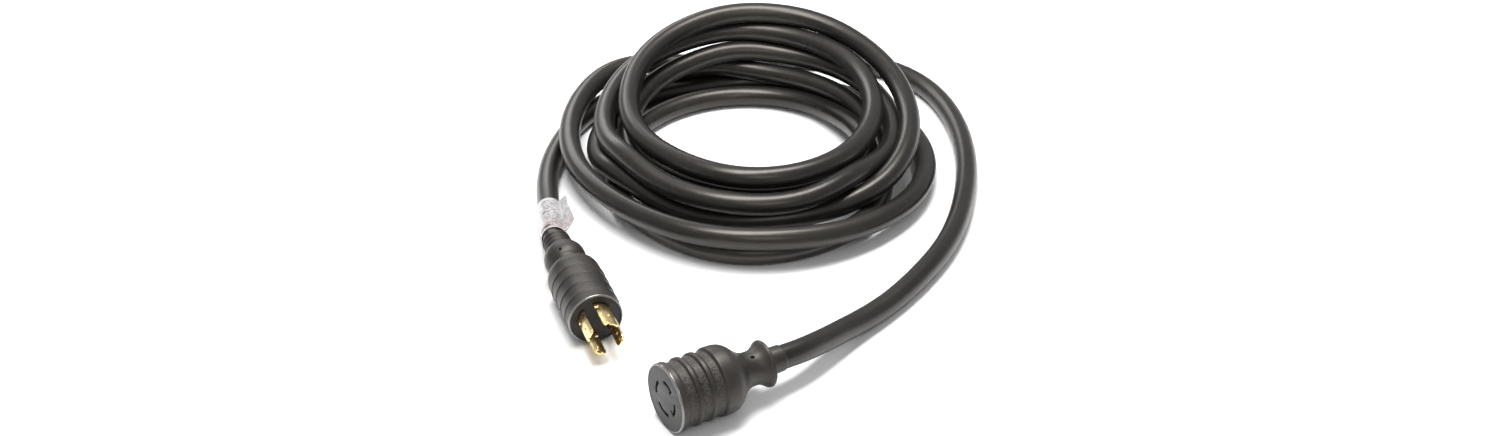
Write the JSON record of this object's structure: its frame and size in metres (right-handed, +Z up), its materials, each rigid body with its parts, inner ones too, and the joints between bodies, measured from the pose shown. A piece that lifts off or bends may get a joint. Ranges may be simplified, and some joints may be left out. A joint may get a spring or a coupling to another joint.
{
  "type": "shore power cord",
  "caption": "Heavy round locking power cord lying in a loose coil, with a moulded bladed plug on one end and a moulded slotted connector on the other.",
  "frame": {"origin": "on the floor, below the middle of the box that the plug and the connector fill together, without the cable", "axes": "+Z up from the floor, +Y from the plug and connector towards the coil behind them, +X to the right with the coil at the back"},
  "size_m": [0.3395, 0.5376, 0.079],
  "materials": {
    "overmould": "matte moulded",
    "insulator": "smooth moulded",
    "brass": "stamped and polished",
    "jacket": "satin",
    "wire_green": "smooth",
    "wire_red": "smooth",
    "wire_white": "smooth",
    "wire_black": "smooth",
    "label": "glossy vinyl"
  },
  "bodies": {
    "root": {"plug_body": "overmould", "plug_face": "insulator", "plug_core": "insulator", "blade_ground": "brass", "blade_line_y": "brass", "blade_neutral": "brass", "blade_line_x": "brass", "plug_wire_green": "wire_green", "plug_wire_red": "wire_red", "plug_wire_white": "wire_white", "plug_wire_black": "wire_black", "connector_body": "overmould", "connector_face": "insulator", "contact_carrier": "insulator", "contact_ground": "brass", "contact_line_y": "brass", "contact_neutral": "brass", "contact_line_x": "brass", "connector_wire_green": "wire_green", "connector_wire_red": "wire_red", "connector_wire_white": "wire_white", "connector_wire_black": "wire_black", "connector_lead": "jacket", "plug_lead": "jacket", "cable_coil": "jacket", "rating_label": "label"}
  },
  "joints": []
}
